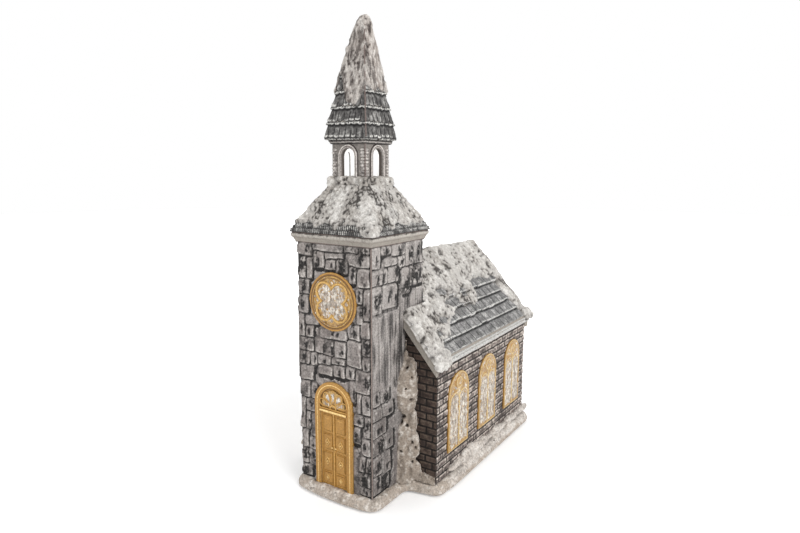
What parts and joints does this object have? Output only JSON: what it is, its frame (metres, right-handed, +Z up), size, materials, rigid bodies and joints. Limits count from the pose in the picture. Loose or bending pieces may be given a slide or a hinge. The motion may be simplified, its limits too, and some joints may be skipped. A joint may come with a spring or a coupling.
{
  "type": "snow-covered village church ornament",
  "caption": "Free-standing resin village church with belfry, slated spire, arched gold windows and snow, lit from inside by battery lamps.",
  "frame": {"origin": "on the ground under the middle of the plinth's bounding box", "axes": "+Z up along the tower, -Y is the front with the door, +X is the church's right-hand side"},
  "size_m": [0.124, 0.205, 0.32],
  "materials": {
    "snow_resin": "matte",
    "stone_resin": "matte",
    "brick_resin": "matte",
    "slate_resin": "matte",
    "plain_resin": "matte",
    "gold_resin": "satin",
    "glitter_pane": "satin",
    "black_plastic": "matte",
    "circuit_board": "satin",
    "bright_steel": "satin",
    "cell_jacket": "gloss",
    "lamp_lens": "gloss",
    "rubber_pad": "matte",
    "lead_jacket": "satin"
  },
  "bodies": {
    "root": {"base_plinth": "snow_resin", "tower_shell": "stone_resin", "tower_cornice": "plain_resin", "tower_cap": "slate_resin", "cap_snow": "snow_resin", "belfry_ledge": "snow_resin", "belfry_arcade": "stone_resin", "spire_moulding": "stone_resin", "spire_slates": "slate_resin", "spire_snow": "snow_resin", "nave_shell": "brick_resin", "nave_roof": "slate_resin", "barge_front_right": "plain_resin", "barge_front_left": "plain_resin", "barge_back": "plain_resin", "roof_snow": "snow_resin", "drift_right": "snow_resin", "drift_left": "snow_resin", "door_surround": "gold_resin", "door_leaf_right": "gold_resin", "door_leaf_left": "gold_resin", "fanlight_tracery": "gold_resin", "fanlight_pane": "glitter_pane", "rose_frame": "gold_resin", "rose_pane": "glitter_pane", "window_frame_right_1": "gold_resin", "window_frame_right_2": "gold_resin", "window_frame_right_3": "gold_resin", "window_frame_left_1": "gold_resin", "window_frame_left_2": "gold_resin", "window_frame_left_3": "gold_resin", "window_pane_right_1": "glitter_pane", "window_pane_right_2": "glitter_pane", "window_pane_right_3": "glitter_pane", "window_pane_left_1": "glitter_pane", "window_pane_left_2": "glitter_pane", "window_pane_left_3": "glitter_pane", "base_cover": "black_plastic", "cell_right": "cell_jacket", "cell_left": "cell_jacket", "contact_plus": "bright_steel", "contact_minus": "bright_steel", "contact_bridge": "bright_steel", "cover_screw_1": "bright_steel", "cover_screw_2": "bright_steel", "cover_screw_3": "bright_steel", "cover_screw_4": "bright_steel", "switch_housing": "bright_steel", "circuit_board": "circuit_board", "nave_lamp": "lamp_lens", "tower_lamp_holder": "black_plastic", "tower_lamp": "lamp_lens", "tower_lead": "lead_jacket", "foot_pad_1": "rubber_pad", "foot_pad_2": "rubber_pad", "foot_pad_3": "rubber_pad", "foot_pad_4": "rubber_pad"},
    "hatch": {"battery_hatch": "black_plastic"},
    "knob": {"switch_knob": "black_plastic"}
  },
  "joints": [
    {"name": "hatch_hinge", "type": "hinge", "parent": "root", "child": "hatch", "pos_m": [0, 0.00095, 0.004], "axis": [-1, 0, 0], "range_deg": [0, 75]},
    {"name": "switch_slide", "type": "slide", "parent": "root", "child": "knob", "axis": [1, 0, 0], "range_m": [0, 0.0025]}
  ]
}
